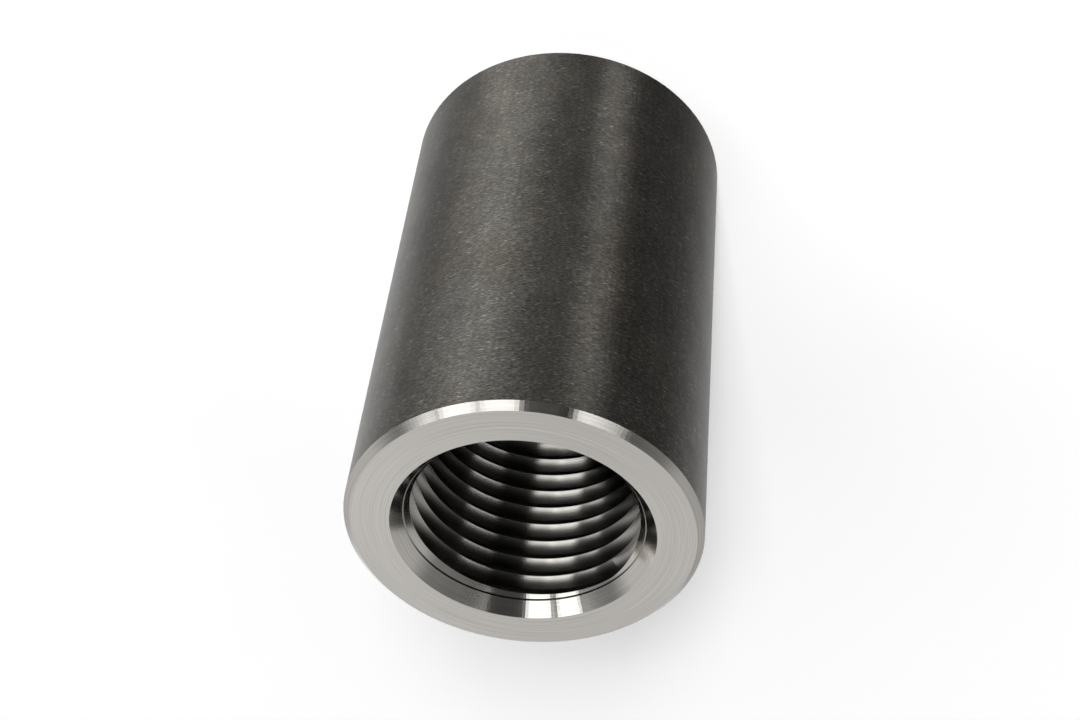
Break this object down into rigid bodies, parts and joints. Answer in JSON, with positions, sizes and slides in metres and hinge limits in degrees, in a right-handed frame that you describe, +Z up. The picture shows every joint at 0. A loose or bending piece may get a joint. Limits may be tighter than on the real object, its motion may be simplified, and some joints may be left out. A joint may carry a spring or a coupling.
{
  "type": "rebar coupler",
  "caption": "Thick-walled round steel sleeve, threaded right through, with a lead-in cone at each mouth, for joining two threaded reinforcing bars end to end.",
  "frame": {"origin": "centre of the lower end face, on the surface that the coupler stands on", "axes": "+Z up along the bore axis; X and Y are any two directions across it"},
  "size_m": [0.045, 0.045, 0.072],
  "materials": {
    "sleeve_steel": "turned and lightly oiled: bright fine-turned end faces, dull dark skin with fine scratches round it"
  },
  "bodies": {
    "root": {"coupler_sleeve": "sleeve_steel"}
  },
  "joints": []
}
